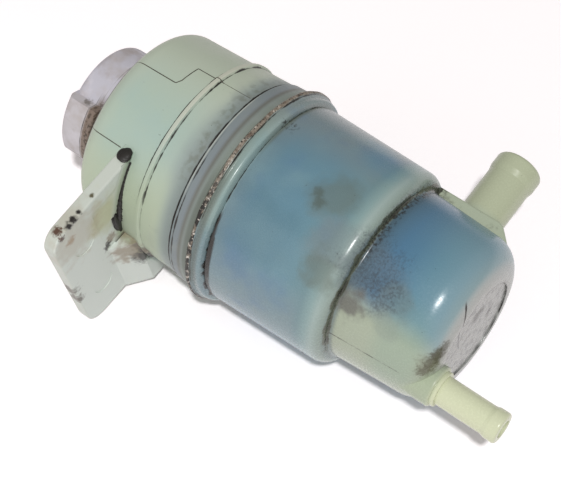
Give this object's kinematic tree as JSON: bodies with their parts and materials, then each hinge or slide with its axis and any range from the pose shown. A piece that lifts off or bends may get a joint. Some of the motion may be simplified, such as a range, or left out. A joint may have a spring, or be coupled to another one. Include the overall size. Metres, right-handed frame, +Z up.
{
  "type": "power steering reservoir",
  "caption": "Bottle-shaped fluid reservoir of two welded plastic shells, with a screw cap, a bracket plate, a stepped sump and hose nozzles.",
  "frame": {"origin": "middle of the bracket plate's lower face, between its two round marks", "axes": "+Z up along the bottle towards the cap, +X from the bracket towards the suction nozzle's mouth"},
  "size_m": [0.1218, 0.08, 0.183],
  "materials": {
    "shell_plastic": "moulded translucent polypropylene, aged",
    "sump_plastic": "moulded translucent polypropylene, stained blue-grey from inside",
    "cap_plastic": "moulded polypropylene, matt and grubby",
    "seal_rubber": "moulded nitrile rubber",
    "strainer_plastic": "moulded nylon",
    "inner_plastic": "moulded nylon",
    "mesh_nylon": "woven nylon screen"
  },
  "bodies": {
    "bottle": {"upper_shell": "shell_plastic", "lower_shell": "sump_plastic", "neck_strainer": "strainer_plastic", "baffle_plate": "inner_plastic", "filter_frame": "inner_plastic", "filter_mesh": "mesh_nylon", "filter_cover": "inner_plastic", "return_pipe": "inner_plastic"},
    "seal": {"cap_seal": "seal_rubber"},
    "cap": {"cap": "cap_plastic"}
  },
  "joints": [
    {"name": "cap_lift", "type": "slide", "parent": "bottle", "child": "seal", "axis": [0, 0, 1], "range_m": [0, 0.03]},
    {"name": "cap_turn", "type": "hinge", "parent": "seal", "child": "cap", "pos_m": [0.0524, 0, 0.037], "axis": [0, 0, 1], "range_deg": [0, 450]}
  ]
}
